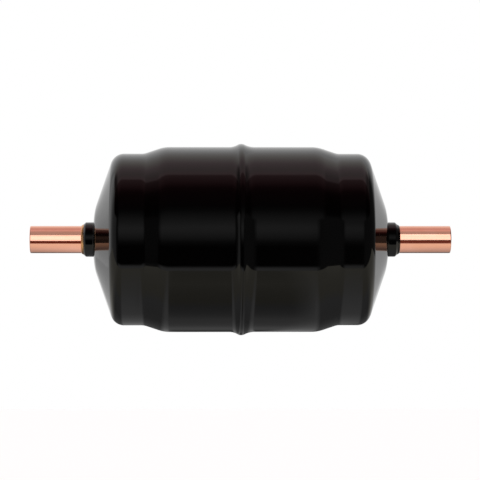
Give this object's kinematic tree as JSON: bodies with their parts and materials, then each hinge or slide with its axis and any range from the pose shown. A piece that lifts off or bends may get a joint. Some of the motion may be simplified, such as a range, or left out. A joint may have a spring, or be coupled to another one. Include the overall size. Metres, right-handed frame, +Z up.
{
  "type": "filter drier",
  "caption": "Hermetic liquid-line filter drier: black steel shell of two stepped cups joined by a girth weld, with copper solder sockets and a spring-loaded desiccant core inside.",
  "frame": {"origin": "on the axis of the shell, in the plane of the girth weld", "axes": "+X along the shell's axis in the flow direction, from the inlet socket to the outlet socket; +Z up"},
  "size_m": [0.173, 0.0789, 0.0788],
  "materials": {
    "shell_paint": "gloss black powder coat",
    "weld_paint": "gloss black powder coat over a weld bead",
    "collar_paint": "gloss black powder coat",
    "copper": "bright drawn copper",
    "braze": "brazing alloy as it set",
    "bare_steel": "pressed bare steel",
    "spring_steel": "spring wire",
    "felt": "pressed felt",
    "desiccant": "moulded block of bonded beads",
    "fibre_mat": "bonded fibre"
  },
  "bodies": {
    "root": {"inlet_shell": "shell_paint", "outlet_shell": "shell_paint", "seam_weld": "weld_paint", "backing_ring": "bare_steel", "inlet_collar": "collar_paint", "outlet_collar": "collar_paint", "inlet_collar_braze": "collar_paint", "outlet_collar_braze": "collar_paint", "inlet_connector": "copper", "outlet_connector": "copper", "inlet_braze_ring": "braze", "outlet_braze_ring": "collar_paint", "core_spring": "spring_steel", "pressure_plate": "bare_steel", "inlet_felt_ring": "felt", "desiccant_core": "desiccant", "filter_mat": "fibre_mat", "outlet_felt_ring": "felt", "mesh_screen": "bare_steel", "perforated_plate": "bare_steel"}
  },
  "joints": []
}
